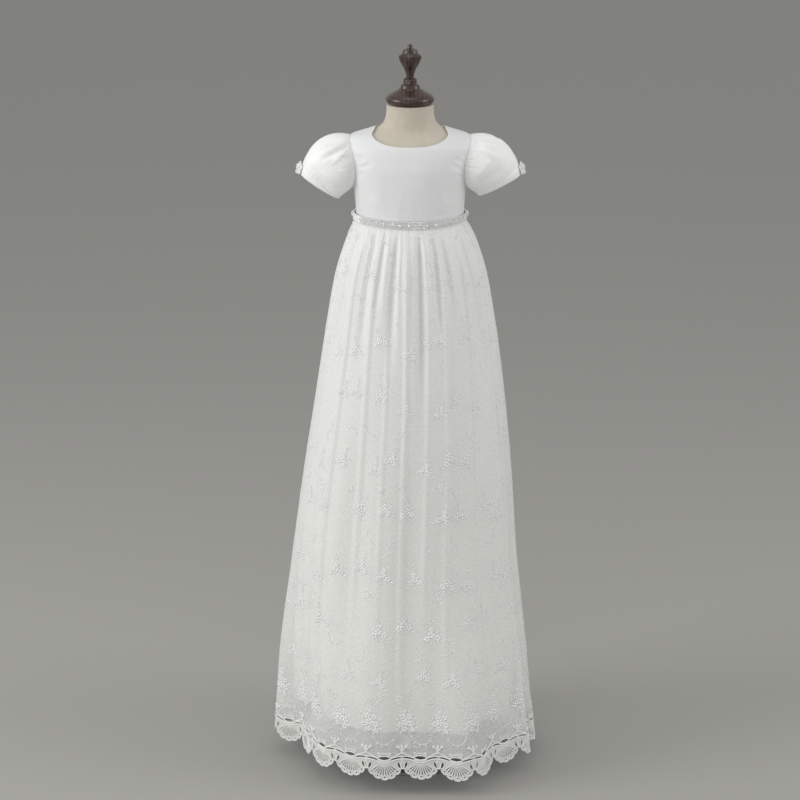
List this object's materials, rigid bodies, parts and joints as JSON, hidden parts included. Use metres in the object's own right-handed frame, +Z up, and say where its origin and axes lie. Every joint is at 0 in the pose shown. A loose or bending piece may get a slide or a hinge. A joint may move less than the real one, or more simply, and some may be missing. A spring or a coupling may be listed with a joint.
{
  "type": "christening gown on dress form",
  "caption": "Long child's christening gown of embroidered net over satin, with puffed sleeves, beaded belt and scalloped lace hem, standing on a limbless dress form.",
  "frame": {"origin": "middle of the stand base's flat underside, on the floor", "axes": "+Z up along the stand's pole, -Y towards the gown's front, +X to the right as seen from the front"},
  "size_m": [0.4153, 0.3587, 1.1365],
  "materials": {
    "satin": "soft satin sheen",
    "net": "sheer embroidered net",
    "lace": "matte cotton lace",
    "beads": "pearls and set stones",
    "jersey": "matte knitted jersey",
    "walnut": "dark turned wood, satin varnish",
    "pole_steel": "brushed"
  },
  "bodies": {
    "root": {"bodice_front": "satin", "bodice_back_left": "satin", "bodice_back_right": "satin", "sleeve_left": "satin", "sleeve_right": "satin", "cuff_flower_left": "lace", "cuff_flower_right": "lace", "belt": "beads", "skirt_net_front": "net", "skirt_net_back": "net", "under_skirt_front": "satin", "under_skirt_back": "satin", "hem_border_front": "lace", "hem_border_back": "lace", "form_torso": "jersey", "form_cap": "walnut", "form_pole": "pole_steel", "form_base": "pole_steel"}
  },
  "joints": []
}
